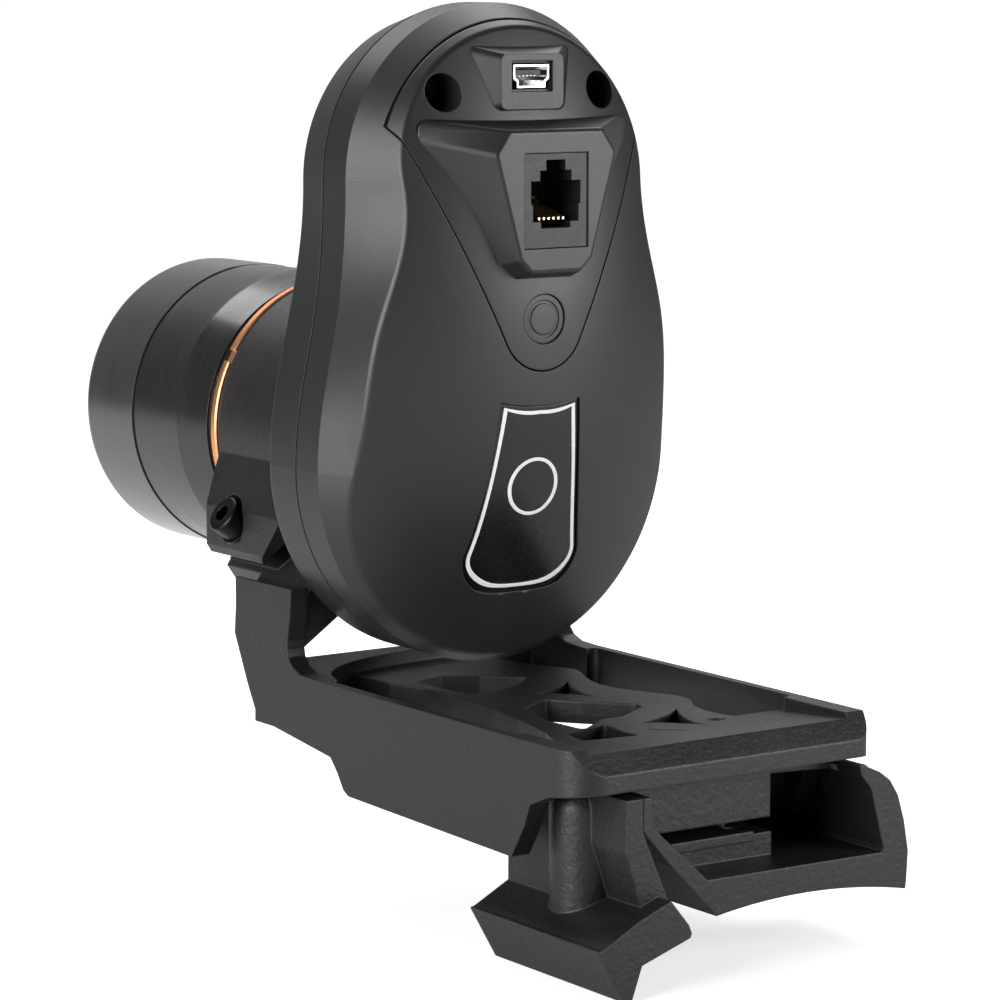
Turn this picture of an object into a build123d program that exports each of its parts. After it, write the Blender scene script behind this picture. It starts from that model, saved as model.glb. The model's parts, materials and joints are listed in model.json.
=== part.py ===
# Alignment camera with its clamp bracket: an egg-shaped camera on a lens barrel, held in a split ring
# on two arms that rise from a ribbed tray, which stands on a saddle foot for a curved telescope tube.
#
# Frame: X to the right seen from behind, Y forward along the optical axis, Z up, in millimetres.
# The origin is on the seat of the saddle, straight below the optical axis and at mid length of the foot.
from build123d import *
from math import cos, sin, radians, sqrt
import os

os.makedirs("parts", exist_ok=True)

# ---------------------------------------------------------------- driving dimensions
axis_height = 70.0            # optical axis over the seat of the saddle

# camera housing, heights are over the optical axis
top_radius = 30.3             # small end of the egg
top_centre = 48.2
bottom_radius = 36.3          # large end of the egg
bottom_centre = -2.0
waist_half = 32.7             # half width between the two ends
waist_height = 22.0
rear_inset = 9.4              # how far the band has drawn in at the plane behind the dome
rear_waist_half = 28.6
rear_plane_y = 34.5
nose_inset = 1.5              # how far the small end draws in at the front face
front_y = 70.5                # front face of the housing
seam_y = 60.5                 # parting line of the two shells
ridge_y = 53.5                # sharp ridge round the rear shell
dome_radius = 150.0           # domed rear face, up and down
dome_side_radius = 77.0       # and from side to side
dome_y = 37.0                 # rearmost point of the dome
dome_height = 25.0
wall = 2.5

# connector panel
panel_inset = 3.0
panel_corner_angle = 20.0
apex_height = 23.4
apex_radius = 8.2
panel_gap = 0.3
screw_x = 16.5
screw_height = 63.3
boss_face_y = 33.5
usb_face_y = 40.8
jack_width = 13.2
jack_height = 16.2
jack_centre = 44.8
usb_centre = 65.9

# lens
barrel_radius = 24.5
thread_radius = 22.5
barrel_bore = 20.5
flange_radius = 29.0
cell_radius = 27.6
lock_ring_radius = 27.3
fit_gap = 0.05
lock_ring_y = 103.6
lock_ring_width = 1.8
cell_rear_y = 106.0
cell_edge_y = 117.2
hood_y = 134.1
hood_front_y = 153.5
hood_radius = 27.8
hood_bore = 24.2

# bracket
ring_rear_y = 73.5
ring_front_y = 103.0
ring_outer = 27.0
tray_half = 31.0
side_wall = 3.7
rim_height = -40.3            # rim of the tray, below the axis
web_top = -42.6
web_thickness = 4.0

# clamp
clamp_tilt = 34.9             # the screw points this far below the horizontal
clamp_reach = 29.5            # screw axis to optical axis
clamp_y = 94.0
lug_length = 17.0
slot_near = -10.8             # faces of the slot, measured along the screw from the optical axis
slot_far = -6.6
head_seat = -13.4
screw_radius = 2.0
head_radius = 3.5
head_height = 4.0
washer_thickness = 0.6
screw_length = 16.0

# foot
foot_half = 16.5
seat_radius = 115.0
seat_crown_x = 14.5

optical_axis = Axis((0, 0, axis_height), (0, 1, 0))


# ---------------------------------------------------------------- helpers
def rear_plane(y):
    """Plane across the optical axis that faces the rear: local x is X, local y is height over the axis."""
    return Plane(origin=(0, y, axis_height), x_dir=(1, 0, 0), z_dir=(0, -1, 0))


def side_plane(x):
    """Plane along the camera, facing right: local x is Y, local y is height over the axis."""
    return Plane(origin=(x, 0, axis_height), x_dir=(0, 1, 0), z_dir=(1, 0, 0))


def polygon_face(plane, points):
    """Flat face with straight edges through the points."""
    with BuildSketch(plane) as face:
        with BuildLine():
            Polyline(*points, close=True)
        make_face()
    return face.sketch


def rounded_face(plane, points, radius):
    """Flat face through the points with its corners rounded."""
    with BuildSketch(plane) as face:
        with BuildLine():
            Polyline(*points, close=True)
        make_face()
        fillet(face.vertices(), radius)
    return face.sketch


def turned(points):
    """Half section of a turned piece, as (radius, station along Y)."""
    return polygon_face(Plane.XY.offset(axis_height), points)


def mirrored_outline(half):
    """Points of the right half, from bottom to top, followed by their mirror images."""
    return list(half) + [(-x, z) for x, z in reversed(half)]


def housing_outline(y, inset=0.0, waist=waist_half, nose=0.0):
    """Egg outline of the camera housing at station y, drawn in by inset; nose also shrinks the small end."""
    small = top_radius - inset - nose
    small_centre = top_centre - nose / 2
    large = bottom_radius - inset
    with BuildSketch(rear_plane(y)) as outline:
        with BuildLine():
            CenterArc((0, small_centre), small, 0, 180)
            CenterArc((0, bottom_centre), large, 180, 180)
            for side in (1, -1):
                Spline(
                    (side * small, small_centre),
                    (side * (waist - inset), waist_height),
                    (side * large, bottom_centre),
                    tangents=[(0, -1), (0, -1)],
                )
        make_face()
    return outline.sketch


def dome(gap):
    """Barrel-shaped solid that bounds the domed rear face, gap below the outer surface."""
    height = axis_height + dome_height
    far_y = dome_y + dome_radius
    rear_y = dome_y + gap
    half = 60.0
    side = dome_side_radius - gap
    edge_y = rear_y + side - sqrt(side ** 2 - half ** 2)
    with BuildSketch(Plane.XY.offset(height), mode=Mode.PRIVATE) as section:
        with BuildLine():
            ThreePointArc((-half, edge_y), (0, rear_y), (half, edge_y))
            Polyline((half, edge_y), (half, far_y), (-half, far_y), (-half, edge_y))
        make_face()
    turn_axis = Axis((0, far_y, height), (1, 0, 0))
    return revolve(section.sketch, axis=turn_axis, mode=Mode.PRIVATE)


def rear_block(inset):
    """Solid behind the parting line: side wall, sloping band and dome, all drawn in by inset."""
    with BuildPart() as block:
        extrude(housing_outline(seam_y, inset), amount=seam_y - ridge_y)
        rear_waist = rear_waist_half + rear_inset
        loft([housing_outline(ridge_y, inset),
              housing_outline(rear_plane_y, inset + rear_inset, rear_waist)])
        add(dome(inset), mode=Mode.INTERSECT)
    return block.part


def panel_outline(y, gap=0.0):
    """Outline of the connector panel: the top of the egg drawn down to a rounded point."""
    rim = top_radius - panel_inset + gap
    with BuildSketch(rear_plane(y)) as outline:
        with BuildLine():
            CenterArc((0, top_centre), rim, panel_corner_angle, 180 - 2 * panel_corner_angle)
            CenterArc((0, apex_height), apex_radius + gap, 0, 360)
        make_hull()
    return outline.sketch


def badge_outline(y, inset=0.0):
    """Outline of the name badge: a shield with a narrow top and a round foot."""
    with BuildSketch(rear_plane(y)) as outline:
        with BuildLine():
            for side in (1, -1):
                corner = (side * (8.4 - inset), 9.9 - inset)
                hip = (side * (12.3 - inset), -17.5)
                ThreePointArc((0, 9.0 - inset), (side * 4.4, 9.2 - inset), corner)
                Spline(corner, (side * (9.4 - inset), 0), hip, tangents=[(side * 0.1, -1), (side * 0.25, -1)])
                Spline(hip, (side * (10.2 - inset), -22.8 + inset), (0, -24.8 + inset),
                       tangents=[(side * 0.1, -1), (-side, 0)])
        make_face()
    return outline.sketch


def discs(y, points, radius):
    """Round spots across the optical axis, one at each (x, height) point."""
    with BuildSketch(rear_plane(y)) as spots:
        with Locations(*points):
            Circle(radius)
    return spots.sketch


def window(y, width, height, z):
    """Rectangle across the optical axis, centred at height z over it."""
    with BuildSketch(rear_plane(y)) as opening:
        with Locations((0, z)):
            Rectangle(width, height)
    return opening.sketch


def lens_section(radius, rear_edge, front_edge, rear_rise, front_rise):
    """Half section of a round lens; each rise is how far its middle stands out past its edge."""
    with BuildSketch(Plane.XY.offset(axis_height)) as section:
        with BuildLine():
            rear = TangentArc((0, rear_edge - rear_rise), (radius, rear_edge), tangent=(1, 0))
            front = TangentArc((0, front_edge + front_rise), (radius, front_edge), tangent=(1, 0))
            Line(rear @ 0, front @ 0)
            Line(rear @ 1, front @ 1)
        make_face()
    return section.sketch


# ---------------------------------------------------------------- camera housing
tube_end_y = 53.5             # forward end of the screw tubes
tube_radius = 4.3
tube_bore = 3.3
tube_floor = 2.0
screw_hole = 1.7
pilot_hole = 1.5
post_radius = 3.4
screw_shank = 1.45
foot_points = [(-20.5, -25.5), (20.5, -25.5)]
tube_points = [(-screw_x, screw_height), (screw_x, screw_height)]
standoff_points = [(-8, 33), (8, 33), (-8, 68), (8, 68)]
front_wall_y = front_y - wall
rear_of_front = seam_y + 0.4
badge_recess = 0.9
emblem_point = [(0, apex_height + 0.7)]
emblem_radius = 4.4
emblem_depth = 0.7

with BuildPart() as housing_outer:
    add(rear_block(0))
    soft_edge = edges().filter_by(lambda edge: 40 < edge.center().Y < 50)
    fillet(soft_edge, 1.5)
housing_inner = rear_block(wall)

with BuildPart() as badge_hollow:
    extrude(badge_outline(seam_y), amount=30, dir=(0, -1, 0))
    add(dome(badge_recess), mode=Mode.SUBTRACT)

with BuildPart() as foot_posts:
    extrude(discs(seam_y, foot_points, post_radius), amount=13)
    add(housing_outer.part, mode=Mode.INTERSECT)

with BuildPart() as rear_shell:
    add(housing_outer.part)
    add(housing_inner, mode=Mode.SUBTRACT)
    extrude(panel_outline(seam_y, panel_gap), amount=30, mode=Mode.SUBTRACT)
    add(badge_hollow.part, mode=Mode.SUBTRACT)
    # posts for the lower housing screws
    add(foot_posts.part)
    extrude(discs(seam_y, foot_points, pilot_hole), amount=9, mode=Mode.SUBTRACT)
rear_shell.part.label = "rear_shell"
export_step(rear_shell.part, "parts/rear_shell.step")

# parting seal, set back from the outside so that the joint shows as a fine line
seal_inset = 0.35
with BuildPart() as shell_seal:
    extrude(housing_outline(rear_of_front, seal_inset), amount=rear_of_front - seam_y)
    extrude(housing_outline(rear_of_front, wall), amount=rear_of_front - seam_y, mode=Mode.SUBTRACT)
shell_seal.part.label = "shell_seal"
export_step(shell_seal.part, "parts/shell_seal.step")

barrel_screw_radius = 26.75
with BuildPart() as front_shell:
    loft([housing_outline(rear_of_front), housing_outline(front_y, 0, waist_half, nose_inset)])
    front_edge = edges().filter_by(lambda edge: edge.center().Y > front_y - 0.1)
    fillet(front_edge, 1.6)
    loft([housing_outline(rear_of_front, wall), housing_outline(front_wall_y, wall, waist_half, nose_inset)],
         mode=Mode.SUBTRACT)
    extrude(discs(front_wall_y, foot_points, post_radius), amount=front_wall_y - rear_of_front)
    extrude(discs(front_wall_y, tube_points, post_radius), amount=front_wall_y - tube_end_y)
    # standoffs for the main board
    extrude(discs(front_wall_y, standoff_points, 2.0), amount=front_wall_y - 49.5)
    extrude(discs(front_y, [(0, 0)], barrel_radius + fit_gap), amount=wall, mode=Mode.SUBTRACT)
    extrude(discs(front_y, foot_points, screw_hole), amount=12, mode=Mode.SUBTRACT)
    extrude(discs(front_y, foot_points, 3.0), amount=1.4, mode=Mode.SUBTRACT)
    extrude(discs(front_wall_y, tube_points, pilot_hole), amount=20, mode=Mode.SUBTRACT)
    with BuildSketch(rear_plane(front_y)) as barrel_screw_holes:
        with PolarLocations(barrel_screw_radius, 4, start_angle=45):
            Circle(1.4)
    extrude(amount=wall, mode=Mode.SUBTRACT)
front_shell.part.label = "front_shell"
export_step(front_shell.part, "parts/front_shell.step")

# connector panel with the raised socket block and the raised port block
socket_base = [(7.5, 29.6), (10.6, 32.4), (22, 55), (22, 58.8)]
socket_face = [(5.2, 32.4), (7.6, 34.8), (12.4, 52.8), (9.4, 57)]
port_base = [(12.2, 58.6), (12.2, 71.6)]
port_face = [(6.6, 60.2), (6.6, 69.8)]
with BuildPart() as screw_tubes:
    extrude(discs(tube_end_y, tube_points, tube_radius), amount=20)
    add(housing_outer.part, mode=Mode.INTERSECT)

with BuildPart() as emblem_seat:
    extrude(discs(seam_y, emblem_point, emblem_radius), amount=30)
    add(dome(emblem_depth), mode=Mode.SUBTRACT)

with BuildPart() as connector_panel:
    extrude(panel_outline(seam_y), amount=30)
    add(housing_outer.part, mode=Mode.INTERSECT)
    add(housing_inner, mode=Mode.SUBTRACT)
    loft([rounded_face(rear_plane(43.5), mirrored_outline(socket_base), 1.9),
          rounded_face(rear_plane(boss_face_y), mirrored_outline(socket_face), 1.2)])
    face_edges = edges().filter_by(lambda edge: edge.center().Y < boss_face_y + 0.05)
    fillet(face_edges, 0.9)
    loft([rounded_face(rear_plane(46.5), mirrored_outline(port_base), 1.4),
          rounded_face(rear_plane(usb_face_y), mirrored_outline(port_face), 1.4)])
    add(screw_tubes.part)
    extrude(discs(tube_end_y - tube_floor, tube_points, tube_bore), amount=25, mode=Mode.SUBTRACT)
    extrude(discs(tube_end_y, tube_points, screw_hole), amount=5, mode=Mode.SUBTRACT)
    extrude(window(seam_y, jack_width + 0.2, jack_height + 0.2, jack_centre), amount=40, mode=Mode.SUBTRACT)
    extrude(window(seam_y, 8.0, 4.5, usb_centre), amount=30, mode=Mode.SUBTRACT)
    extrude(window(usb_face_y + 0.9, 8.6, 5.3, usb_centre), amount=5, mode=Mode.SUBTRACT)
    add(emblem_seat.part, mode=Mode.SUBTRACT)
connector_panel.part.label = "connector_panel"
export_step(connector_panel.part, "parts/connector_panel.step")

with BuildPart() as emblem_groove:
    extrude(discs(seam_y, emblem_point, 3.3), amount=30)
    extrude(discs(seam_y, emblem_point, 2.7), amount=30, mode=Mode.SUBTRACT)
    add(dome(0.5), mode=Mode.SUBTRACT)

with BuildPart() as emblem_disc:
    extrude(discs(seam_y, emblem_point, emblem_radius - 0.15), amount=30)
    add(dome(emblem_depth), mode=Mode.SUBTRACT)
    add(dome(0.3), mode=Mode.INTERSECT)
    add(emblem_groove.part, mode=Mode.SUBTRACT)
emblem_disc.part.label = "emblem_disc"
export_step(emblem_disc.part, "parts/emblem_disc.step")

# badge: a thin plate that follows the dome, with a raised border line
border_margin = 0.9
border_width = 0.6
badge_face = 0.45             # face of the plate, below the dome
badge_ring_point = [(0, -5.5)]
with BuildPart() as badge_plate:
    extrude(badge_outline(seam_y, 0.15), amount=30, dir=(0, -1, 0))
    add(dome(badge_recess), mode=Mode.SUBTRACT)
    add(dome(badge_face), mode=Mode.INTERSECT)
badge_plate.part.label = "badge_plate"
export_step(badge_plate.part, "parts/badge_plate.step")

with BuildPart() as badge_border:
    extrude(badge_outline(seam_y, border_margin), amount=30, dir=(0, -1, 0))
    extrude(badge_outline(seam_y, border_margin + border_width), amount=30, dir=(0, -1, 0), mode=Mode.SUBTRACT)
    extrude(discs(seam_y, badge_ring_point, 5.2), amount=30)
    extrude(discs(seam_y, badge_ring_point, 4.6), amount=30, mode=Mode.SUBTRACT)
    add(dome(badge_face), mode=Mode.SUBTRACT)
    add(dome(0.2), mode=Mode.INTERSECT)
badge_border.part.label = "badge_border"
export_step(badge_border.part, "parts/badge_border.step")

# ---------------------------------------------------------------- sockets and boards
board_rear_y = 47.9
board_front_y = 49.5
jack_rear_y = boss_face_y + 0.3
jack_depth = 10.5
jack_opening = [(3.1, 40.1), (3.1, 41.2), (4.8, 41.2), (4.8, 44.2), (5.2, 44.2), (5.2, 48.2),
                (3.3, 48.2), (3.3, 50.0), (2.0, 50.0), (2.0, 51.8)]
with BuildPart() as jack_housing:
    extrude(window(board_rear_y, jack_width, jack_height, jack_centre), amount=board_rear_y - jack_rear_y)
    socket_floor = rear_plane(jack_rear_y + jack_depth)
    extrude(polygon_face(socket_floor, mirrored_outline(jack_opening)), amount=jack_depth, mode=Mode.SUBTRACT)
jack_housing.part.label = "jack_housing"
export_step(jack_housing.part, "parts/jack_housing.step")

contact_pitch = 1.02
contact_width = 0.45
contact_side = [(35.2, 41.4), (44.3, 44.6), (44.3, 45.0), (35.2, 41.9)]
with BuildPart() as jack_contacts:
    for i in range(6):
        left = (i - 2.5) * contact_pitch - contact_width / 2
        extrude(polygon_face(side_plane(left), contact_side), amount=contact_width)
    # carrier bar that the contacts are moulded into
    extrude(window(44.3, 6.2, 0.6, 44.8), amount=0.4)
jack_contacts.part.label = "jack_contacts"
export_step(jack_contacts.part, "parts/jack_contacts.step")

usb_rear_y = 41.2
usb_floor_y = 46.9
usb_outer = [(3.0, 63.9), (3.0, 64.9), (3.75, 65.5), (3.75, 67.9)]
usb_inner = [(2.65, 64.25), (2.65, 65.1), (3.4, 65.7), (3.4, 67.55)]
with BuildPart() as usb_shell:
    extrude(polygon_face(rear_plane(board_rear_y), mirrored_outline(usb_outer)),
            amount=board_rear_y - usb_rear_y)
    extrude(polygon_face(rear_plane(usb_floor_y), mirrored_outline(usb_inner)), amount=6, mode=Mode.SUBTRACT)
usb_shell.part.label = "usb_shell"
export_step(usb_shell.part, "parts/usb_shell.step")

with BuildPart() as usb_tongue:
    extrude(window(usb_floor_y, 5.2, 0.9, 66.5), amount=4.7)
usb_tongue.part.label = "usb_tongue"
export_step(usb_tongue.part, "parts/usb_tongue.step")

with BuildPart() as usb_contacts:
    for i in range(5):
        with BuildSketch(rear_plane(usb_floor_y)) as contact:
            with Locations(((i - 2) * 0.8, 65.95)):
                Rectangle(0.35, 0.2)
        extrude(amount=4.4)
    extrude(window(usb_floor_y, 4.4, 0.2, 65.95), amount=0.5)
usb_contacts.part.label = "usb_contacts"
export_step(usb_contacts.part, "parts/usb_contacts.step")

with BuildPart() as main_board:
    extrude(window(board_front_y, 22, 39, 50.5), amount=board_front_y - board_rear_y)
main_board.part.label = "main_board"
export_step(main_board.part, "parts/main_board.step")

with BuildPart() as board_chips:
    with BuildSketch(rear_plane(board_front_y + 1.2)) as chip_outlines:
        with Locations((0, 53)):
            Rectangle(10, 10)
        with Locations((-5.5, 42)):
            Rectangle(5, 4)
        with Locations((5.5, 42)):
            Rectangle(4, 6)
        with Locations((0, 64.5)):
            Rectangle(11.4, 4.6)
    extrude(amount=1.2)
board_chips.part.label = "board_chips"
export_step(board_chips.part, "parts/board_chips.step")

sensor_board_y = 60.4
sensor_board_front = 62.0
barrel_rear_y = 65.0
sensor_points = [(-16.5, -16.5), (16.5, -16.5), (-16.5, 16.5), (16.5, 16.5)]
with BuildPart() as sensor_board:
    extrude(window(sensor_board_front, 38, 38, 0), amount=sensor_board_front - sensor_board_y)
    extrude(window(sensor_board_front, 10, 20, 28), amount=sensor_board_front - sensor_board_y)
sensor_board.part.label = "sensor_board"
export_step(sensor_board.part, "parts/sensor_board.step")

with BuildPart() as board_header:
    extrude(window(sensor_board_y, 8, 4, 35), amount=sensor_board_y - board_front_y)
board_header.part.label = "board_header"
export_step(board_header.part, "parts/board_header.step")

with BuildPart() as image_sensor:
    extrude(window(63.2, 14, 12, 0), amount=63.2 - sensor_board_front)
image_sensor.part.label = "image_sensor"
export_step(image_sensor.part, "parts/image_sensor.step")

with BuildPart() as sensor_standoffs:
    extrude(discs(barrel_rear_y, sensor_points, 2.0), amount=barrel_rear_y - sensor_board_front)
sensor_standoffs.part.label = "sensor_standoffs"
export_step(sensor_standoffs.part, "parts/sensor_standoffs.step")

# ---------------------------------------------------------------- housing screws
with BuildPart() as panel_screws:
    seat_y = tube_end_y - tube_floor
    extrude(discs(seat_y, tube_points, 2.8), amount=2.2)
    extrude(discs(seat_y + 12, tube_points, screw_shank), amount=12)
    extrude(discs(seat_y - 0.9, tube_points, 0.9), amount=2, mode=Mode.SUBTRACT)
panel_screws.part.label = "panel_screws"
export_step(panel_screws.part, "parts/panel_screws.step")

with BuildPart() as shell_screws:
    seat_y = front_y - 1.4
    extrude(discs(front_y - 0.1, foot_points, 2.7), amount=1.3)
    extrude(discs(seat_y, foot_points, screw_shank), amount=16.5)
    extrude(discs(front_y, foot_points, 0.9), amount=0.8, mode=Mode.SUBTRACT)
shell_screws.part.label = "shell_screws"
export_step(shell_screws.part, "parts/shell_screws.step")

with BuildPart() as barrel_screws:
    with BuildSketch(rear_plane(front_y + 1.5)) as heads:
        with PolarLocations(barrel_screw_radius, 4, start_angle=45):
            Circle(2.2)
    extrude(amount=1.5)
    with BuildSketch(rear_plane(front_y)) as shanks:
        with PolarLocations(barrel_screw_radius, 4, start_angle=45):
            Circle(1.2)
    extrude(amount=4.5)
    with BuildSketch(rear_plane(front_y + 1.5)) as sockets:
        with PolarLocations(barrel_screw_radius, 4, start_angle=45):
            RegularPolygon(1.0, 6)
    extrude(amount=0.9, mode=Mode.SUBTRACT)
barrel_screws.part.label = "barrel_screws"
export_step(barrel_screws.part, "parts/barrel_screws.step")

# ---------------------------------------------------------------- lens
barrel_step_y = 103.3         # where the barrel drops to the thread
barrel_front_y = 125.5
with BuildPart() as lens_barrel:
    revolve(turned([(barrel_bore, barrel_rear_y), (flange_radius, barrel_rear_y), (flange_radius, front_wall_y),
                    (barrel_radius, front_wall_y), (barrel_radius, barrel_step_y), (thread_radius, barrel_step_y),
                    (thread_radius, barrel_front_y), (barrel_bore, barrel_front_y)]), axis=optical_axis)
    with BuildSketch(rear_plane(front_wall_y)) as flange_holes:
        with PolarLocations(barrel_screw_radius, 4, start_angle=45):
            Circle(1.25)
    extrude(amount=2.5, mode=Mode.SUBTRACT)
lens_barrel.part.label = "lens_barrel"
export_step(lens_barrel.part, "parts/lens_barrel.step")

with BuildPart() as field_lens:
    revolve(lens_section(barrel_bore - fit_gap, 99.0, 101.0, 0.8, 1.4), axis=optical_axis)
field_lens.part.label = "field_lens"
export_step(field_lens.part, "parts/field_lens.step")

with BuildPart() as field_ring:
    ring_bore = 18.6
    revolve(turned([(ring_bore, 101.6), (barrel_bore - fit_gap, 101.6), (barrel_bore - fit_gap, 103.4),
                    (ring_bore, 103.4)]), axis=optical_axis)
field_ring.part.label = "field_ring"
export_step(field_ring.part, "parts/field_ring.step")

with BuildPart() as lock_ring:
    revolve(turned([(thread_radius + fit_gap, lock_ring_y), (lock_ring_radius, lock_ring_y),
                    (lock_ring_radius, lock_ring_y + lock_ring_width),
                    (thread_radius + fit_gap, lock_ring_y + lock_ring_width)]), axis=optical_axis)
    edge_notch = edges().filter_by(lambda edge: edge.bounding_box().size.X > 2 * lock_ring_radius - 1)
    chamfer(edge_notch, 0.25)
    # four spanner notches in the rim
    with BuildSketch(rear_plane(lock_ring_y + lock_ring_width)) as notches:
        with PolarLocations(lock_ring_radius, 4, start_angle=60):
            Rectangle(1.6, 2.4)
    extrude(amount=lock_ring_width, mode=Mode.SUBTRACT)
lock_ring.part.label = "lock_ring"
export_step(lock_ring.part, "parts/lock_ring.step")

thread_bore = thread_radius + fit_gap
with BuildPart() as objective_cell:
    revolve(turned([(thread_bore, cell_rear_y + 0.2), (25.8, cell_rear_y + 0.2), (25.8, 108.2), (26.4, 108.2),
                    (cell_radius, cell_edge_y), (cell_radius, 133.5), (25.5, 133.5), (25.5, 137.8), (23.6, 137.8),
                    (23.6, 129), (21.6, 129), (21.6, 127), (thread_bore, 127), (thread_bore, 109.6), (24, 109.6),
                    (24, 107.4), (thread_bore, 107.4)]), axis=optical_axis)
    cell_rim = edges().filter_by(lambda edge: abs(edge.center().Y - cell_edge_y) < 0.1)
    fillet(cell_rim, 1.2)
objective_cell.part.label = "objective_cell"
export_step(objective_cell.part, "parts/objective_cell.step")

with BuildPart() as focus_oring:
    revolve(turned([(22.6, 107.8), (23.9, 107.8), (23.9, 109.2), (22.6, 109.2)]), axis=optical_axis)
    fillet(edges().filter_by(GeomType.CIRCLE), 0.5)
focus_oring.part.label = "focus_oring"
export_step(focus_oring.part, "parts/focus_oring.step")

lens_fit = 23.6 - fit_gap
with BuildPart() as rear_lens:
    revolve(lens_section(lens_fit, 129.0, 131.4, -0.4, -1.2), axis=optical_axis)
rear_lens.part.label = "rear_lens"
export_step(rear_lens.part, "parts/rear_lens.step")

with BuildPart() as lens_spacer:
    revolve(turned([(22, 131.4), (lens_fit, 131.4), (lens_fit, 132.2), (22, 132.2)]), axis=optical_axis)
lens_spacer.part.label = "lens_spacer"
export_step(lens_spacer.part, "parts/lens_spacer.step")

with BuildPart() as front_lens:
    revolve(lens_section(lens_fit, 132.2, 134.6, -0.5, 2.0), axis=optical_axis)
front_lens.part.label = "front_lens"
export_step(front_lens.part, "parts/front_lens.step")

with BuildPart() as retaining_ring:
    revolve(turned([(21.5, 134.95), (lens_fit, 134.95), (lens_fit, 136.75), (21.5, 136.75)]), axis=optical_axis)
    with BuildSketch(rear_plane(136.75)) as spanner_slots:
        with PolarLocations(22.4, 2):
            Rectangle(3, 1.2)
    extrude(amount=1, mode=Mode.SUBTRACT)
retaining_ring.part.label = "retaining_ring"
export_step(retaining_ring.part, "parts/retaining_ring.step")

hood_thread = 25.55
with BuildPart() as lens_hood:
    revolve(turned([(hood_thread, hood_y), (hood_radius, hood_y), (hood_radius, hood_front_y),
                    (hood_bore, hood_front_y), (hood_bore, 138.2), (hood_thread, 138.2)]), axis=optical_axis)
    hood_lip = edges().filter_by(lambda edge: edge.center().Y > hood_front_y - 0.1)
    fillet(hood_lip.sort_by(lambda edge: edge.length)[-1], 2.6)
    # light baffles in the deeper half of the bore
    for i in range(4):
        start = 139.0 + 1.6 * i
        revolve(turned([(hood_bore + 0.2, start), (hood_bore - 0.6, start + 0.35), (hood_bore + 0.2, start + 0.7)]),
                axis=optical_axis)
lens_hood.part.label = "lens_hood"
export_step(lens_hood.part, "parts/lens_hood.step")

# ---------------------------------------------------------------- bracket casting
def clamp_plane(y):
    """Plane across the optical axis, facing forward: local x along the clamp screw, local y away."""
    tilt = radians(clamp_tilt)
    return Plane(origin=(0, y, axis_height), x_dir=(cos(tilt), 0, -sin(tilt)), z_dir=(0, 1, 0))


def screw_plane(distance):
    """Plane square to the clamp screw, centred on it, this far along the screw from the optical axis."""
    tilt = radians(clamp_tilt)
    along = Vector(cos(tilt), 0, -sin(tilt))
    across = Vector(-sin(tilt), 0, -cos(tilt))
    centre = along * distance + across * clamp_reach + Vector(0, clamp_y, axis_height)
    return Plane(origin=centre, x_dir=(0, 1, 0), z_dir=along)


def bowed_triangle(corners, bow):
    """Opening with three pointed corners, given as (x, Y) in turn to the left, and sides bowed inwards."""
    with BuildSketch(Plane.XY.offset(axis_height + web_top - web_thickness - 2)) as opening:
        Polygon(*corners, align=None)
        for start, end in zip(corners, corners[1:] + corners[:1]):
            run = Vector(end[0] - start[0], end[1] - start[1])
            radius = (run.length ** 2 / 4 + bow ** 2) / (2 * bow)
            outward = Vector(run.Y, -run.X).normalized()
            centre = Vector(*start) + run / 2 + outward * (radius - bow)
            with Locations(centre):
                Circle(radius, mode=Mode.SUBTRACT)
    return opening.sketch


def web_hole(points, rounding):
    """Rounded opening through the web of the tray, its corners given as (x, Y)."""
    with BuildSketch(Plane.XY.offset(axis_height + web_top - web_thickness - 2)) as opening:
        with BuildLine():
            Polyline(*points, close=True)
        make_face()
        fillet(opening.vertices(), rounding)
    return opening.sketch


bore_radius = barrel_radius + fit_gap
insert_radius = 3.0
insert_length = 9.0
foot_screw_points = [(-9, -4), (10.5, -4), (12.6, 4), (-21.2, -1.5)]
foot_screw_radius = 1.5
wall_inner = tray_half - side_wall
shoulder_rear_y = 72.7
shoulder_front_y = 90.5
left_shoulder = [(-31, -25.2), (-25.4, -25.2), (-20.6, -18), (-17, -19.5), (-5, -25.5), (-6, -28.5),
                 (-20, -31), (-27.3, -36), (-31, -36)]
right_shoulder = [(31, -25.2), (22, -19), (17, -19.5), (5, -25.5), (6, -28.5), (20, -31), (27.3, -36), (31, -36)]
upper_lug = [(-26.7, -3.8), (-28.4, -9), (-29.7, -13.5), (-29.7, -20.8), (-28.6, -22.6), (-26.2, -24.0),
             (-15, -24), (-15, -5)]
lower_lug = [(-25.4, -25.2), (-20.6, -18), (-17, -19.5), (-8, -25), (-13, -31), (-21, -31.5)]
side_outline = [(90, -25.2), (91, -35.6), (86.4, -44.7), (83.7, -49.2), (81.6, -50.4), (58.5, -53.3),
                (56.2, -55.7), (54.3, -58.4), (52.7, -59.3), (2.7, -60.4), (-1, -54.5), (-2.5, -50.8),
                (-8, -48.5), (-15.6, -47.6), (-15.6, -44.6), (-12.6, -40.3), (64, -40.3), (68.4, -40.1),
                (71.0, -39.2), (72.5, -37.6), (72.9, -35.6), (71.9, -30.6), (71.4, -25.2)]
rear_wall = [(5, -42.6), (-7, -41.7), (-13.23, -41.2), (-15.6, -44.6), (-15.6, -47.6), (-8.6, -48.43),
             (-8, -46.6), (5, -46.6)]
thin_wall = 1.8               # side walls of the tray between their thicker ends

with BuildPart() as upper_lug_block:
    extrude(polygon_face(rear_plane(ring_front_y), upper_lug), amount=ring_front_y - 74)
    # slanted rear end of the lug
    slant = [(73, -9), (74.5, -10.8), (86.3, -24.4), (73, -24.4)]
    extrude(polygon_face(side_plane(-40), slant), amount=40, mode=Mode.SUBTRACT)

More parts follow.
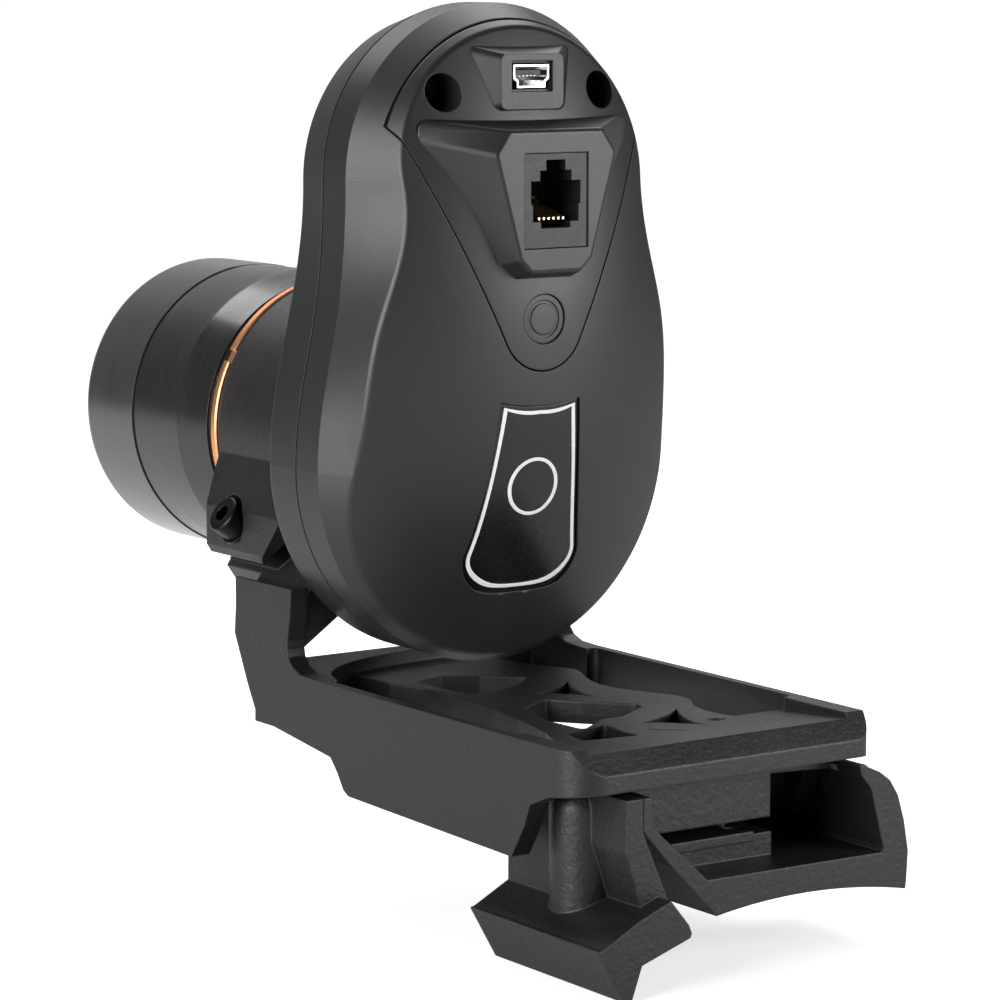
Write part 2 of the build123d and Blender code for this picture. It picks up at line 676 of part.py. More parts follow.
with BuildPart() as bracket_frame:
    # clamp ring on its two shoulders
    extrude(discs(ring_front_y, [(0, 0)], ring_outer), amount=ring_front_y - ring_rear_y)
    for shoulder in (left_shoulder, right_shoulder):
        extrude(polygon_face(rear_plane(shoulder_front_y), shoulder), amount=shoulder_front_y - shoulder_rear_y)
    add(upper_lug_block.part)
    extrude(polygon_face(rear_plane(ring_front_y), lower_lug), amount=lug_length)
    # two side walls that rise into the arms
    for left in (-tray_half, wall_inner):
        extrude(polygon_face(side_plane(left), side_outline), amount=side_wall)
    # rear wall of the tray, blending forward into the web
    extrude(polygon_face(side_plane(-tray_half), rear_wall), amount=2 * tray_half)
    # soft rear corners, larger on the left
    for side, rounding in ((-1, 6.5), (1, 3.0)):
        centre = (side * (tray_half - rounding), -15.6 + rounding)
        with BuildSketch(Plane.XY.offset(axis_height - 62)) as corner_waste:
            with Locations((side * (tray_half - rounding / 2 + 0.5), -15.6 + rounding / 2 - 0.5)):
                Rectangle(rounding + 1, rounding + 1)
            with Locations(centre):
                Circle(rounding, mode=Mode.SUBTRACT)
        extrude(amount=25, mode=Mode.SUBTRACT)
    # cross wall at the front of the tray, bowed at the left corner
    with BuildSketch(Plane.XY.offset(axis_height - 50.9)) as cross_wall:
        with BuildLine():
            Polyline((tray_half, 84), (-tray_half, 84), (-tray_half, 62), (-wall_inner, 62), close=False)
            Spline((-wall_inner, 62), (-24, 69), (-18, 74), (-7, 78), (6, 79.5))
            Polyline((6, 79.5), (tray_half, 79.5), (tray_half, 84), close=False)
        make_face()
    extrude(amount=50.9 + rim_height)
    # web of the tray, scalloped along its right side
    with BuildSketch(Plane.XY.offset(axis_height + web_top - web_thickness)) as web:
        with BuildLine():
            Polyline((-29.5, 1), (-29.5, -9), (29.5, -9), (29.5, -4))
            Spline((29.5, -4), (22, -1.2), (17.2, 5), (16.2, 12), (18.6, 18.5))
            Spline((18.6, 18.5), (20.4, 24.5), (18.2, 30.5), (15.4, 40), (18.4, 50.5), (20.4, 56.3),
                   (17.8, 63), (15.6, 70), (15.6, 80))
            Polyline((15.6, 80), (-15, 80), (-15, 64), (-12.5, 56), (-12.5, 48), (-13.5, 34), (-14.8, 24),
                     (-17.4, 12), (-21, 4), (-29.5, 1))
        make_face()
    extrude(amount=web_thickness)
    # pads on the left, with tall sides down to the foot of the pocket
    with BuildSketch(Plane.XY.offset(axis_height - 52)) as pads:
        with Locations((-6.8, 39.5), (-9, 70)):
            Circle(6)
    extrude(amount=52 + web_top)
    # openings through the web
    extrude(bowed_triangle([(0.2, 41.0), (7.5, 31.4), (14.6, 50.0)], 1.8), amount=12, mode=Mode.SUBTRACT)
    extrude(bowed_triangle([(0.0, 9.2), (7.5, -0.4), (15.0, 18.2)], 1.8), amount=12, mode=Mode.SUBTRACT)
    extrude(web_hole([(-0.6, 35.6), (3.4, 30.4), (9.8, 23.2), (9.2, 20.6), (1.2, 15.4), (-3.7, 15.3), (-11.0, 9.9),
                      (-11.6, 20.0), (-9.4, 30.0), (-6.0, 32.6)], 0.9), amount=12, mode=Mode.SUBTRACT)
    extrude(web_hole([(-3.4, 64.4), (2.6, 61.0), (8.9, 54.6), (2.4, 49.2), (-4.6, 46.4), (-9.6, 47.2), (-10.4, 62.4)],
                     0.9), amount=12, mode=Mode.SUBTRACT)
    extrude(web_hole([(-3.0, 3.6), (-1.8, 4.0), (1.5, -2.5), (0.3, -3.0)], 0.4), amount=12, mode=Mode.SUBTRACT)
    # ramp pocket in the web
    with BuildSketch(Plane.XY.offset(axis_height + web_top + 1)) as ramp:
        with BuildLine():
            Polyline((-5.4, 12.0), (-7.6, -1.0), (-17.4, 1.2), (-15.6, 8.6), close=True)
        make_face()
        fillet(ramp.vertices(), 1.0)
    extrude(amount=-4, mode=Mode.SUBTRACT)
    # thin the side walls between their ends
    for middle in (-wall_inner, wall_inner):
        with BuildSketch(Plane.XY.offset(axis_height - 60)) as thinning:
            with Locations((middle, 33)):
                Rectangle(2 * (side_wall - thin_wall), 58)
            fillet(thinning.vertices(), 1.5)
        extrude(amount=25, mode=Mode.SUBTRACT)
    # bore, slot and clamp screw holes
    extrude(discs(ring_front_y + 1, [(0, 0)], bore_radius), amount=40, mode=Mode.SUBTRACT)
    with BuildSketch(clamp_plane(ring_rear_y - 1)) as slot:
        with Locations(((slot_near + slot_far) / 2, 20)):
            Rectangle(slot_far - slot_near, 36)
    extrude(amount=40, mode=Mode.SUBTRACT)
    with BuildSketch(screw_plane(head_seat)) as spot_face:
        Circle(4.2)
    extrude(amount=-12, mode=Mode.SUBTRACT)
    with BuildSketch(screw_plane(-20)) as clearance_hole:
        Circle(screw_radius + 0.2)
    extrude(amount=20 + slot_near + 2, mode=Mode.SUBTRACT)
    with BuildSketch(screw_plane(slot_far - 2)) as insert_hole:
        Circle(insert_radius + fit_gap)
    extrude(amount=2 + insert_length, mode=Mode.SUBTRACT)
    with BuildSketch(screw_plane(slot_far)) as screw_end_hole:
        Circle(screw_radius + 0.2)
    extrude(amount=11, mode=Mode.SUBTRACT)
    # pilot holes for the foot screws, in the underside of the web
    with BuildSketch(Plane.XY.offset(axis_height + web_top - web_thickness)) as foot_pilots:
        with Locations(*foot_screw_points):
            Circle(foot_screw_radius + fit_gap)
    extrude(amount=4.2, mode=Mode.SUBTRACT)
bracket_frame.part.label = "bracket_frame"
export_step(bracket_frame.part, "parts/bracket_frame.step")

# ---------------------------------------------------------------- ring clamp
with BuildPart() as clamp_insert:
    with BuildSketch(screw_plane(slot_far + 0.2)) as insert_section:
        Circle(insert_radius)
        Circle(screw_radius + fit_gap, mode=Mode.SUBTRACT)
    extrude(amount=insert_length - 0.4)
clamp_insert.part.label = "clamp_insert"
export_step(clamp_insert.part, "parts/clamp_insert.step")

with BuildPart() as clamp_washer:
    with BuildSketch(screw_plane(head_seat - washer_thickness)) as washer_section:
        Circle(head_radius + 0.5)
        Circle(screw_radius + 0.1, mode=Mode.SUBTRACT)
    extrude(amount=washer_thickness)
clamp_washer.part.label = "clamp_washer"
export_step(clamp_washer.part, "parts/clamp_washer.step")

with BuildPart() as clamp_screw:
    under_head = head_seat - washer_thickness
    with BuildSketch(screw_plane(under_head)) as head_outline:
        Circle(head_radius)
    extrude(amount=-head_height)
    fillet(edges().sort_by(Axis(screw_plane(0).origin, screw_plane(0).z_dir))[0], 0.5)
    with BuildSketch(screw_plane(under_head)) as shank_outline:
        Circle(screw_radius)
    extrude(amount=screw_length)
    with BuildSketch(screw_plane(under_head - head_height)) as hex_recess:
        RegularPolygon(1.5, 6, major_radius=False)
    extrude(amount=2.2, mode=Mode.SUBTRACT)
clamp_screw.part.label = "clamp_screw"
export_step(clamp_screw.part, "parts/clamp_screw.step")

# ---------------------------------------------------------------- saddle foot
foot_top = web_top - web_thickness - 0.02     # under the web of the tray
foot_length = 2 * foot_half
inclined_web = [(-21.6, foot_top), (-18.4, foot_top), (-18.3, -54.5), (-10.9, -71.5), (-11.2, -72.2),
                (-16.5, -73.9), (-21.6, -57.5)]
jaw_slab = [(-29.8, -71.9), (-28.9, -71.7), (-21.7, -68.0), (-15.2, -65.5), (-11.5, -70), (-10.9, -71.5),
            (-11.2, -72.2), (-21, -75.4), (-23, -80.9), (-24.6, -81)]
cradle_profile = [(-18.2, foot_top), (-18.15, -54.3), (-12.8, -60.5), (-3, -70.6), (29.9, -70.6),
                  (34.4, -74.8), (36, -75.5), (37.3, -75.1), (37.9, -70), (38.2, -64.8), (37.2, -59.4),
                  (35.8, -54.9), (34, -52.1), (31.7, -50.4), (29, -49.2), (26.5, foot_top)]
# open at the top behind the ledge, roofed in front of it
open_cavity = [(-16.6, foot_top + 1), (-16.6, -53.6), (-5, -64.1), (32.6, -64.4), (32.8, -63.7), (31.9, -60.5),
               (30, -53.3), (27.7, -50.5), (26.6, foot_top + 1)]
deep_cavity = [(-12.2, -57.2), (-5, -64.1), (32.6, -64.4), (32.8, -63.7), (31.9, -60.5), (30, -53.3),
               (27.7, -50.5), (14, -49.8), (14, -57.2)]
ledge_y = -9.0
cavity_end_y = 12.0
jaw_head_seat = -56.0         # underside of the boss on which the jaw's screw bears

with BuildPart() as clamp_jaw:
    extrude(polygon_face(rear_plane(foot_half), inclined_web), amount=foot_length)
    extrude(polygon_face(rear_plane(foot_half), jaw_slab), amount=foot_length + 3.5)
    # upright plate at the forward end, in line with the left wall of the tray
    with BuildSketch(rear_plane(foot_half)) as upright:
        with Locations((-20.2, -58)):
            Rectangle(3.6, 2 * (58 + foot_top) - 0.01)
    extrude(amount=12.5)
    # half-round boss up the left side of the inclined web, with the screw inside it
    with BuildSketch(Plane.XY.offset(axis_height - 71)) as boss_outline:
        with Locations((-19.3, -1.5)):
            Circle(5.8)
    extrude(amount=18)
    with Locations((-19.3, -1.5, axis_height - 53)):
        Sphere(5.8)
    with BuildSketch(Plane.XY.offset(axis_height - 54)) as boss_top:
        with Locations(foot_screw_points[3]):
            Circle(3)
    extrude(amount=54 + foot_top)
    jaw_clearance = [(-18.2, -40), (-18.3, -54.5), (-10.9, -71.5), (0, -71.5), (0, -40)]
    extrude(polygon_face(rear_plane(foot_half + 1), jaw_clearance), amount=foot_length + 2, mode=Mode.SUBTRACT)
    with BuildSketch(Plane.XY.offset(axis_height + foot_top)) as above_jaw:
        with Locations((-20, 0)):
            Rectangle(30, 40)
    extrude(amount=8, mode=Mode.SUBTRACT)
    with BuildSketch(Plane.XY.offset(axis_height - 80)) as jaw_screw_hole:
        with Locations(foot_screw_points[3]):
            Circle(foot_screw_radius + 0.2)
    extrude(amount=40, mode=Mode.SUBTRACT)
    with BuildSketch(Plane.XY.offset(axis_height + jaw_head_seat)) as jaw_head_room:
        with Locations(foot_screw_points[3]):
            Circle(2.4)
    extrude(amount=-30, mode=Mode.SUBTRACT)
    # room for the rear wall of the tray
    with BuildSketch(Plane.XY.offset(axis_height - 48.8)) as jaw_room:
        with Locations((-20, -13)):
            Rectangle(20, 9.4)
    extrude(amount=3, mode=Mode.SUBTRACT)
clamp_jaw.part.label = "clamp_jaw"
export_step(clamp_jaw.part, "parts/clamp_jaw.step")

with BuildPart() as saddle_cradle:
    extrude(polygon_face(rear_plane(foot_half), cradle_profile), amount=foot_length)
    extrude(polygon_face(rear_plane(ledge_y), open_cavity), amount=10, mode=Mode.SUBTRACT)
    extrude(polygon_face(rear_plane(cavity_end_y), deep_cavity), amount=cavity_end_y - ledge_y + 0.1,
            mode=Mode.SUBTRACT)
    # arch that sits on the telescope tube
    seat_centre = -axis_height - sqrt(seat_radius ** 2 - seat_crown_x ** 2)
    extrude(discs(foot_half + 1, [(seat_crown_x, seat_centre)], seat_radius), amount=foot_length + 2,
            mode=Mode.SUBTRACT)
    # narrow shelf under the ledge, on a solid base set a little further in
    with BuildSketch(rear_plane(cavity_end_y)) as shelf:
        with Locations((0, -60.2)):
            Rectangle(21, 1.8)
    extrude(amount=cavity_end_y - ledge_y)
    with BuildSketch(rear_plane(cavity_end_y)) as shelf_base:
        with Locations((2.5, -62.3)):
            Rectangle(26, 4.2)
    extrude(amount=cavity_end_y + 7.5)
    # room for the right wall of the tray and for its rear wall
    with BuildSketch(Plane.XY.offset(axis_height - 61)) as wall_room:
        with Locations((29.15, 9)):
            Rectangle(4.3, 24)
    extrude(amount=20, mode=Mode.SUBTRACT)
    with BuildSketch(Plane.XY.offset(axis_height - 51)) as corner_room:
        with Locations((29.15, -6.5)):
            Rectangle(4.3, 7.2)
    extrude(amount=10, mode=Mode.SUBTRACT)
    with BuildSketch(Plane.XY.offset(axis_height - 48.8)) as rear_room:
        with Locations((5, -13)):
            Rectangle(60, 9.4)
    extrude(amount=3, mode=Mode.SUBTRACT)
    with BuildSketch(Plane.XY.offset(axis_height - 52)) as cradle_screw_holes:
        with Locations(*foot_screw_points[:3]):
            Circle(foot_screw_radius + 0.2)
    extrude(amount=8, mode=Mode.SUBTRACT)
    with BuildSketch(Plane.XY.offset(axis_height - 49.85)) as driver_holes:
        with Locations(*foot_screw_points[:3]):
            Circle(2.8)
    extrude(amount=-30, mode=Mode.SUBTRACT)
saddle_cradle.part.label = "saddle_cradle"
export_step(saddle_cradle.part, "parts/saddle_cradle.step")

with BuildPart() as foot_screws:
    with BuildSketch(Plane.XY.offset(axis_height - 49.85)) as foot_heads:
        with Locations(*foot_screw_points[:3]):
            Circle(2.6)
    extrude(amount=-1.8)
    with BuildSketch(Plane.XY.offset(axis_height + jaw_head_seat - 0.05)) as jaw_head:
        with Locations(foot_screw_points[3]):
            Circle(2.3)
    extrude(amount=-1.8)
    with BuildSketch(Plane.XY.offset(axis_height - 49.85)) as foot_shanks:
        with Locations(*foot_screw_points[:3]):
            Circle(foot_screw_radius)
    extrude(amount=6.5)
    with BuildSketch(Plane.XY.offset(axis_height + jaw_head_seat - 0.05)) as jaw_shank:
        with Locations(foot_screw_points[3]):
            Circle(foot_screw_radius)
    extrude(amount=foot_top + 3.3 - jaw_head_seat)
foot_screws.part.label = "foot_screws"
export_step(foot_screws.part, "parts/foot_screws.step")
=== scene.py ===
import bpy
import json
import math
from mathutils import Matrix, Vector


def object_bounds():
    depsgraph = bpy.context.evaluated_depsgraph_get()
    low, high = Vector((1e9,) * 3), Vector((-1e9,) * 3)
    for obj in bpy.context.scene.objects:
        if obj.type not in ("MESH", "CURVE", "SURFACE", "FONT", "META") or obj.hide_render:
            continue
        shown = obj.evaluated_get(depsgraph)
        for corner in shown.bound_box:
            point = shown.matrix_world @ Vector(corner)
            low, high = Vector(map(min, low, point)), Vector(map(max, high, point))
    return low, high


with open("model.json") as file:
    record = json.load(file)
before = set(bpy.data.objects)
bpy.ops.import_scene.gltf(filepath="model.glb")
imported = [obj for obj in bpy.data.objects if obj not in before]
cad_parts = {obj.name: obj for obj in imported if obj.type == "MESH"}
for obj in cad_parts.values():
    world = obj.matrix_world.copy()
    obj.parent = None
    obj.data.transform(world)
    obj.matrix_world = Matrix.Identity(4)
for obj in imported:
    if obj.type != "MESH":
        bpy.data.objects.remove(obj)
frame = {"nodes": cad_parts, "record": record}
cad_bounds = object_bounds()
MM = 0.001
CAMERA_PLACE = Vector((-0.37842, -0.49582, 0.15314))
CAMERA_TARGET = Vector((-0.0119, 0.0335, 0.0638))
LIGHT_TARGET = Vector((0, 0.06, 0.06))


# ---------------------------------------------------------------- camera
def aim(obj, target):
    """Turn a camera or a light to face the target."""
    direction = target - obj.location
    obj.rotation_euler = direction.to_track_quat("-Z", "Y").to_euler()


camera_data = bpy.data.cameras.new("camera")
camera_data.sensor_width = 36
camera_data.lens = 136.1
camera_data.clip_start = 0.02
camera_data.clip_end = 20
camera = bpy.data.objects.new("camera", camera_data)
bpy.context.scene.collection.objects.link(camera)
camera.location = CAMERA_PLACE
aim(camera, CAMERA_TARGET)
bpy.context.scene.camera = camera
bpy.context.scene.view_settings.view_transform = "Standard"


# ---------------------------------------------------------------- materials
class Nodes:
    """Short helpers to wire one material."""

    def __init__(self, name):
        self.material = bpy.data.materials.new(name)
        self.material.use_nodes = True
        self.tree = self.material.node_tree
        self.shader = self.tree.nodes["Principled BSDF"]

    def add(self, kind):
        return self.tree.nodes.new(kind)

    def link(self, source, target):
        self.tree.links.new(source, target)

    def noise(self, scale, detail=3.0, roughness=0.5, stretch=None):
        """Noise from 0 to 1 in the object's own coordinates, stretched where three scales are given."""
        coords = self.add("ShaderNodeTexCoord")
        noise = self.add("ShaderNodeTexNoise")
        noise.inputs["Scale"].default_value = scale
        noise.inputs["Detail"].default_value = detail
        noise.inputs["Roughness"].default_value = roughness
        if stretch:
            mapping = self.add("ShaderNodeMapping")
            mapping.inputs["Scale"].default_value = stretch
            self.link(coords.outputs["Object"], mapping.inputs["Vector"])
            self.link(mapping.outputs["Vector"], noise.inputs["Vector"])
        else:
            self.link(coords.outputs["Object"], noise.inputs["Vector"])
        return noise.outputs["Fac"]

    def cells(self, scale):
        """Distance to the middle of soft-edged cells."""
        coords = self.add("ShaderNodeTexCoord")
        voronoi = self.add("ShaderNodeTexVoronoi")
        voronoi.feature = "SMOOTH_F1"
        voronoi.inputs["Scale"].default_value = scale
        self.link(coords.outputs["Object"], voronoi.inputs["Vector"])
        return voronoi.outputs["Distance"]

    def ramp(self, value, low, high, from_min=0.3, from_max=0.7):
        """The value's span from_min to from_max, mapped to low to high."""
        ranged = self.add("ShaderNodeMapRange")
        ranged.inputs["From Min"].default_value = from_min
        ranged.inputs["From Max"].default_value = from_max
        ranged.inputs["To Min"].default_value = low
        ranged.inputs["To Max"].default_value = high
        self.link(value, ranged.inputs["Value"])
        return ranged.outputs["Result"]

    def mix(self, factor, first, second):
        """Blend two colours. Each argument is a number, a colour or a socket."""
        mix = self.add("ShaderNodeMix")
        mix.data_type = "RGBA"
        for socket, value in ((mix.inputs[0], factor), (mix.inputs[6], first), (mix.inputs[7], second)):
            if isinstance(value, (float, int)):
                socket.default_value = value
            elif isinstance(value, tuple):
                socket.default_value = (*value, 1) if len(value) == 3 else value
            else:
                self.link(value, socket)
        return mix.outputs[2]

    def sum(self, first, second, operation="ADD"):
        """Add two values, or join them by another operation."""
        maths = self.add("ShaderNodeMath")
        maths.operation = operation
        for socket, value in zip(maths.inputs, (first, second)):
            if isinstance(value, (float, int)):
                socket.default_value = value
            else:
                self.link(value, socket)
        return maths.outputs[0]

    def edge_wear(self, radius):
        """1 on sharp convex edges, 0 on flat faces."""
        bevel = self.add("ShaderNodeBevel")
        bevel.samples = 4
        bevel.inputs["Radius"].default_value = radius
        geometry = self.add("ShaderNodeNewGeometry")
        dot = self.add("ShaderNodeVectorMath")
        dot.operation = "DOT_PRODUCT"
        self.link(bevel.outputs["Normal"], dot.inputs[0])
        self.link(geometry.outputs["Normal"], dot.inputs[1])
        return self.ramp(dot.outputs["Value"], 1.0, 0.0, 0.86, 0.99)

    def bump(self, height, distance, strength=1.0, rounding=0.0):
        """Relief from a height, over edges softened by the rounding radius."""
        bump = self.add("ShaderNodeBump")
        bump.inputs["Strength"].default_value = strength
        bump.inputs["Distance"].default_value = distance
        self.link(height, bump.inputs["Height"])
        if rounding:
            bevel = self.add("ShaderNodeBevel")
            bevel.samples = 6
            bevel.inputs["Radius"].default_value = rounding
            self.link(bevel.outputs["Normal"], bump.inputs["Normal"])
        self.link(bump.outputs["Normal"], self.shader.inputs["Normal"])


def cast_paint(name, colour, grain, depth, edge):
    """Satin black paint over a die casting: coarse grain, fine pits, soft mottling, rubbed edges."""
    nodes = Nodes(name)
    broad = nodes.noise(45, 4)
    coarse = nodes.noise(grain * 0.45, 4, 0.55)
    fine = nodes.noise(grain, 5, 0.65)
    pits = nodes.cells(grain * 0.8)
    wear = nodes.edge_wear(0.5 * MM)
    darker = tuple(c * 0.7 for c in colour)
    lighter = tuple(c * 1.6 for c in colour)
    base = nodes.mix(nodes.ramp(broad, 0.0, 1.0), darker, colour)
    speck = nodes.mix(nodes.ramp(fine, 0.0, 0.5, 0.52, 0.75), base, lighter)
    rubbed = nodes.sum(nodes.ramp(broad, 0.35, 1.0), nodes.sum(wear, edge, "MULTIPLY"), "MULTIPLY")
    final = nodes.mix(rubbed, speck, (0.09, 0.09, 0.094))
    nodes.link(final, nodes.shader.inputs["Base Color"])
    rough = nodes.sum(nodes.ramp(fine, 0.34, 0.5), nodes.ramp(broad, -0.05, 0.05))
    nodes.link(rough, nodes.shader.inputs["Roughness"])
    height = nodes.sum(nodes.sum(fine, nodes.sum(pits, 0.5, "MULTIPLY")), nodes.sum(coarse, 1.4, "MULTIPLY"))
    nodes.bump(height, depth, 0.9, 0.5 * MM)
    nodes.shader.inputs["Specular IOR Level"].default_value = 0.42
    return nodes.material


def moulded(name, colour, rough, grain, depth, rounding=0.25):
    """Spark-eroded moulded plastic: even fine texture with a slight sheen."""
    nodes = Nodes(name)
    broad = nodes.noise(25, 3)
    fine = nodes.noise(grain, 4, 0.6)
    wear = nodes.edge_wear(0.4 * MM)
    darker = tuple(c * 0.85 for c in colour)
    base = nodes.mix(nodes.ramp(broad, 0.0, 1.0), darker, colour)
    final = nodes.mix(nodes.sum(wear, 0.25, "MULTIPLY"), base, tuple(c * 2.2 for c in colour))
    nodes.link(final, nodes.shader.inputs["Base Color"])
    nodes.link(nodes.sum(nodes.ramp(fine, rough - 0.05, rough + 0.07), nodes.ramp(broad, -0.02, 0.02)),
               nodes.shader.inputs["Roughness"])
    nodes.bump(fine, depth, 0.7, rounding * MM)
    return nodes.material


def turned_metal(name, colour, rough, gloss_coat=0.0, rings=2600, metallic=1.0, depth=0.004):
    """Anodised or bare turned metal: fine bands across the optical axis."""
    nodes = Nodes(name)
    lines = nodes.noise(1.0, 3, 0.6, (60, rings, 60))
    broad = nodes.noise(40, 3)
    wear = nodes.edge_wear(0.3 * MM)
    base = nodes.mix(nodes.ramp(lines, 0.0, 1.0), tuple(c * 0.85 for c in colour), colour)
    worn = tuple(min(1, c * 2.5 + 0.02) for c in colour)
    final = nodes.mix(nodes.sum(wear, 0.3, "MULTIPLY"), base, worn)
    nodes.link(final, nodes.shader.inputs["Base Color"])
    nodes.link(nodes.sum(nodes.ramp(lines, rough - 0.04, rough + 0.05), nodes.ramp(broad, -0.02, 0.02)),
               nodes.shader.inputs["Roughness"])
    nodes.shader.inputs["Metallic"].default_value = metallic
    nodes.shader.inputs["Coat Weight"].default_value = gloss_coat
    nodes.shader.inputs["Coat Roughness"].default_value = 0.12
    nodes.bump(lines, depth * MM, 0.5, 0.15 * MM)
    return nodes.material


def clear_glass(name):
    """Coated optical glass with a faint smear."""
    nodes = Nodes(name)
    smear = nodes.noise(120, 4)
    nodes.shader.inputs["Base Color"].default_value = (0.75, 0.9, 0.86, 1)
    nodes.shader.inputs["Transmission Weight"].default_value = 1.0
    nodes.shader.inputs["IOR"].default_value = 1.5
    nodes.link(nodes.ramp(smear, 0.0, 0.03), nodes.shader.inputs["Roughness"])
    nodes.shader.inputs["Coat Weight"].default_value = 0.6
    nodes.shader.inputs["Coat Tint"].default_value = (0.55, 0.85, 0.75, 1)
    return nodes.material


def board_green(name):
    """Circuit board lacquer over copper tracks."""
    nodes = Nodes(name)
    tracks = nodes.cells(700)
    fine = nodes.noise(300, 3)
    base = nodes.mix(nodes.ramp(tracks, 0.0, 1.0, 0.2, 0.4), (0.01, 0.09, 0.03), (0.015, 0.13, 0.045))
    nodes.link(base, nodes.shader.inputs["Base Color"])
    nodes.link(nodes.ramp(fine, 0.3, 0.42), nodes.shader.inputs["Roughness"])
    nodes.bump(tracks, 0.03 * MM, 0.5)
    return nodes.material


finishes = {
    "bracket_casting": cast_paint("bracket_casting", (0.012, 0.012, 0.0125), 1900, 0.05 * MM, 0.4),
    "foot_casting": cast_paint("foot_casting", (0.011, 0.011, 0.0115), 1400, 0.08 * MM, 0.45),
    "housing_plastic": moulded("housing_plastic", (0.0135, 0.0135, 0.014), 0.4, 3200, 0.02 * MM),
    "panel_plastic": moulded("panel_plastic", (0.011, 0.011, 0.0115), 0.38, 3200, 0.02 * MM),
    "emblem_plastic": moulded("emblem_plastic", (0.009, 0.009, 0.0095), 0.36, 3200, 0.01 * MM),
    "badge_black": moulded("badge_black", (0.005, 0.005, 0.0055), 0.24, 2500, 0.003 * MM),
    "badge_silver": moulded("badge_silver", (0.82, 0.82, 0.83), 0.35, 2500, 0.005 * MM),
    "seal_rubber": moulded("seal_rubber", (0.003, 0.003, 0.003), 0.8, 1500, 0.02 * MM),
    "dark_screw": turned_metal("dark_screw", (0.02, 0.02, 0.02), 0.4, rings=900),
    "black_steel": turned_metal("black_steel", (0.03, 0.03, 0.032), 0.34, rings=900),
    "brass_insert": turned_metal("brass_insert", (0.7, 0.5, 0.2), 0.3, rings=900),
    "jack_plastic": moulded("jack_plastic", (0.008, 0.008, 0.0085), 0.45, 2500, 0.01 * MM, 0.15),
    "gold_contact": turned_metal("gold_contact", (0.75, 0.6, 0.35), 0.3, rings=700),
    "port_steel": turned_metal("port_steel", (0.85, 0.85, 0.86), 0.22, rings=700),
    "circuit_board": board_green("circuit_board"),
    "chip_black": moulded("chip_black", (0.015, 0.015, 0.015), 0.5, 2500, 0.01 * MM),
    "sensor_glass": moulded("sensor_glass", (0.02, 0.03, 0.05), 0.1, 800, 0.001 * MM),
    "barrel_anodised": turned_metal("barrel_anodised", (0.06, 0.06, 0.062), 0.38, rings=2200,
                                    metallic=0.3),
    "cell_anodised": turned_metal("cell_anodised", (0.019, 0.019, 0.02), 0.26, 0.3, rings=300,
                                  metallic=0.2),
    "hood_gloss": turned_metal("hood_gloss", (0.034, 0.034, 0.035), 0.2, 0.5, rings=300, metallic=0.0,
                               depth=0.001),
    "lens_glass": clear_glass("lens_glass"),
    "copper_ring": turned_metal("copper_ring", (0.95, 0.42, 0.2), 0.3, metallic=0.9),
}

slots = {entry["node"]: entry["material_slot"] for entry in frame["record"]["subparts"]}
for node, obj in frame["nodes"].items():
    obj.data.materials.clear()
    obj.data.materials.append(finishes[slots[node]])

# ---------------------------------------------------------------- floor and light
def white_surface(name, tone, glow):
    """Matt white studio paper. The glow whitens it for the camera and hardly lights the object."""
    nodes = Nodes(name)
    mottle = nodes.noise(3, 2)
    shade = nodes.mix(nodes.ramp(mottle, 0, 1), (tone,) * 3, (tone + 0.03,) * 3)
    nodes.link(shade, nodes.shader.inputs["Base Color"])
    nodes.link(nodes.ramp(mottle, 0.75, 0.85), nodes.shader.inputs["Roughness"])
    nodes.shader.inputs["Emission Color"].default_value = (1, 1, 1, 1)
    light_path = nodes.add("ShaderNodeLightPath")
    seen = nodes.ramp(light_path.outputs["Is Camera Ray"], 0.04, glow, 0.0, 1.0)
    nodes.link(seen, nodes.shader.inputs["Emission Strength"])
    return nodes.material


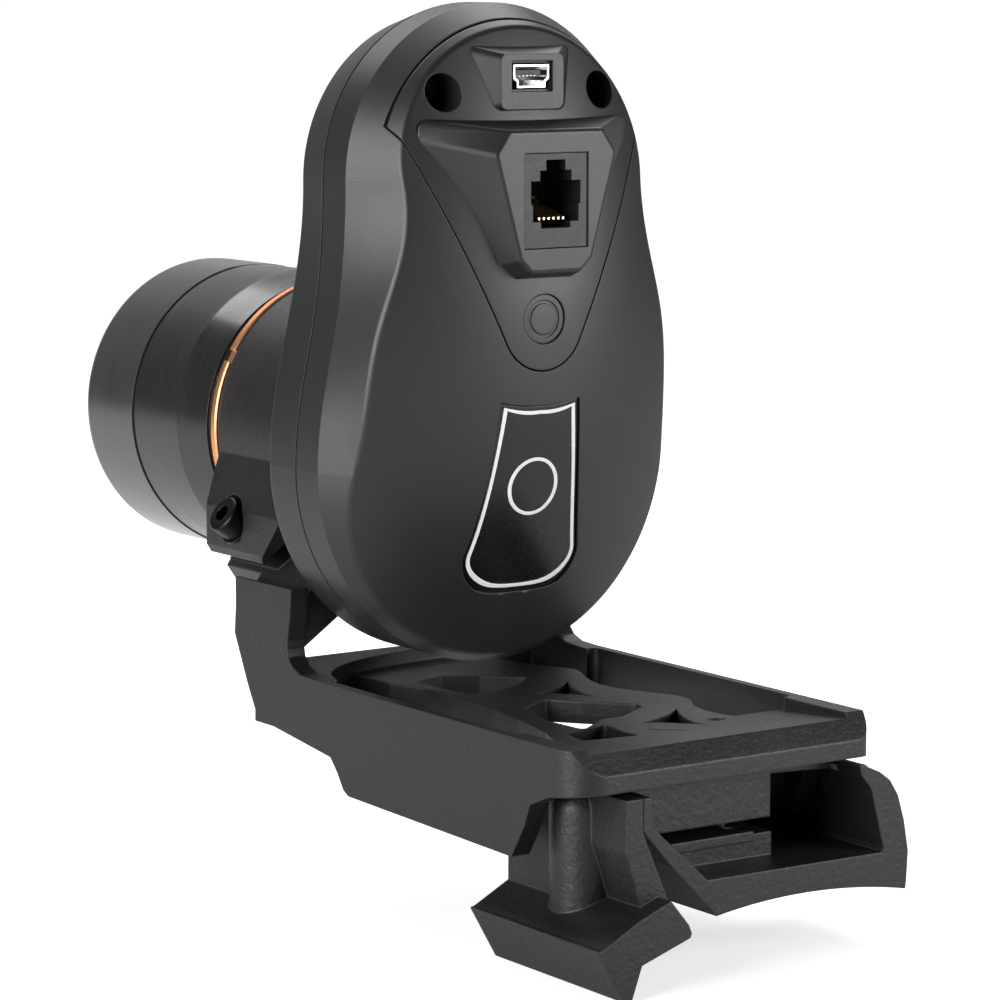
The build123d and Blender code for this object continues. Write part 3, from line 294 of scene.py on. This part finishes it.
def sweep(name, material):
    """Paper sweep, square to the view: a flat floor that curves up into a wall behind the object."""
    floor_start, curve_start, curve_radius, wall_top, half_width = -1.6, 1.0, 0.5, 2.2, 2.5
    curve_steps = 12
    profile = [(floor_start, 0.0), (curve_start, 0.0)]
    for step in range(1, curve_steps + 1):
        angle = math.pi / 2 * step / curve_steps
        distance = curve_start + curve_radius * math.sin(angle)
        profile.append((distance, curve_radius * (1 - math.cos(angle))))
    profile.append((curve_start + curve_radius, wall_top))
    away = CAMERA_TARGET - CAMERA_PLACE
    away.z = 0
    away.normalize()
    across = Vector((away.y, -away.x, 0))
    floor_z = cad_bounds[0][2] - 0.2 * MM
    vertices = []
    for side in (-half_width, half_width):
        for distance, height in profile:
            point = away * distance + across * side
            vertices.append((point.x, point.y, floor_z + height))
    count = len(profile)
    faces = [(i, i + 1, count + i + 1, count + i) for i in range(count - 1)]
    mesh = bpy.data.meshes.new(name)
    mesh.from_pydata(vertices, [], faces)
    for face in mesh.polygons:
        face.use_smooth = True
    paper = bpy.data.objects.new(name, mesh)
    bpy.context.scene.collection.objects.link(paper)
    mesh.materials.append(material)


sweep("paper_sweep", white_surface("white_paper", 0.8, 0.62))

world = bpy.data.worlds.new("studio")
bpy.context.scene.world = world
world.use_nodes = True
world.node_tree.nodes["Background"].inputs["Color"].default_value = (1, 1, 1, 1)
world.node_tree.nodes["Background"].inputs["Strength"].default_value = 0.06


def soft_box(name, place, width, height, power):
    """Area light of this size in metres and power in watts, aimed at the middle of the object."""
    data = bpy.data.lights.new(name, "AREA")
    data.shape = "RECTANGLE"
    data.size = width
    data.size_y = height
    data.energy = power
    light = bpy.data.objects.new(name, data)
    bpy.context.scene.collection.objects.link(light)
    light.location = place
    aim(light, LIGHT_TARGET)


soft_box("top_light", (0.15, 0.55, 0.8), 0.9, 0.5, 6)
soft_box("left_light", (-0.95, -0.1, 0.3), 0.7, 0.6, 13)
soft_box("camera_light", (0.6, -0.8, 0.3), 0.5, 0.5, 8)
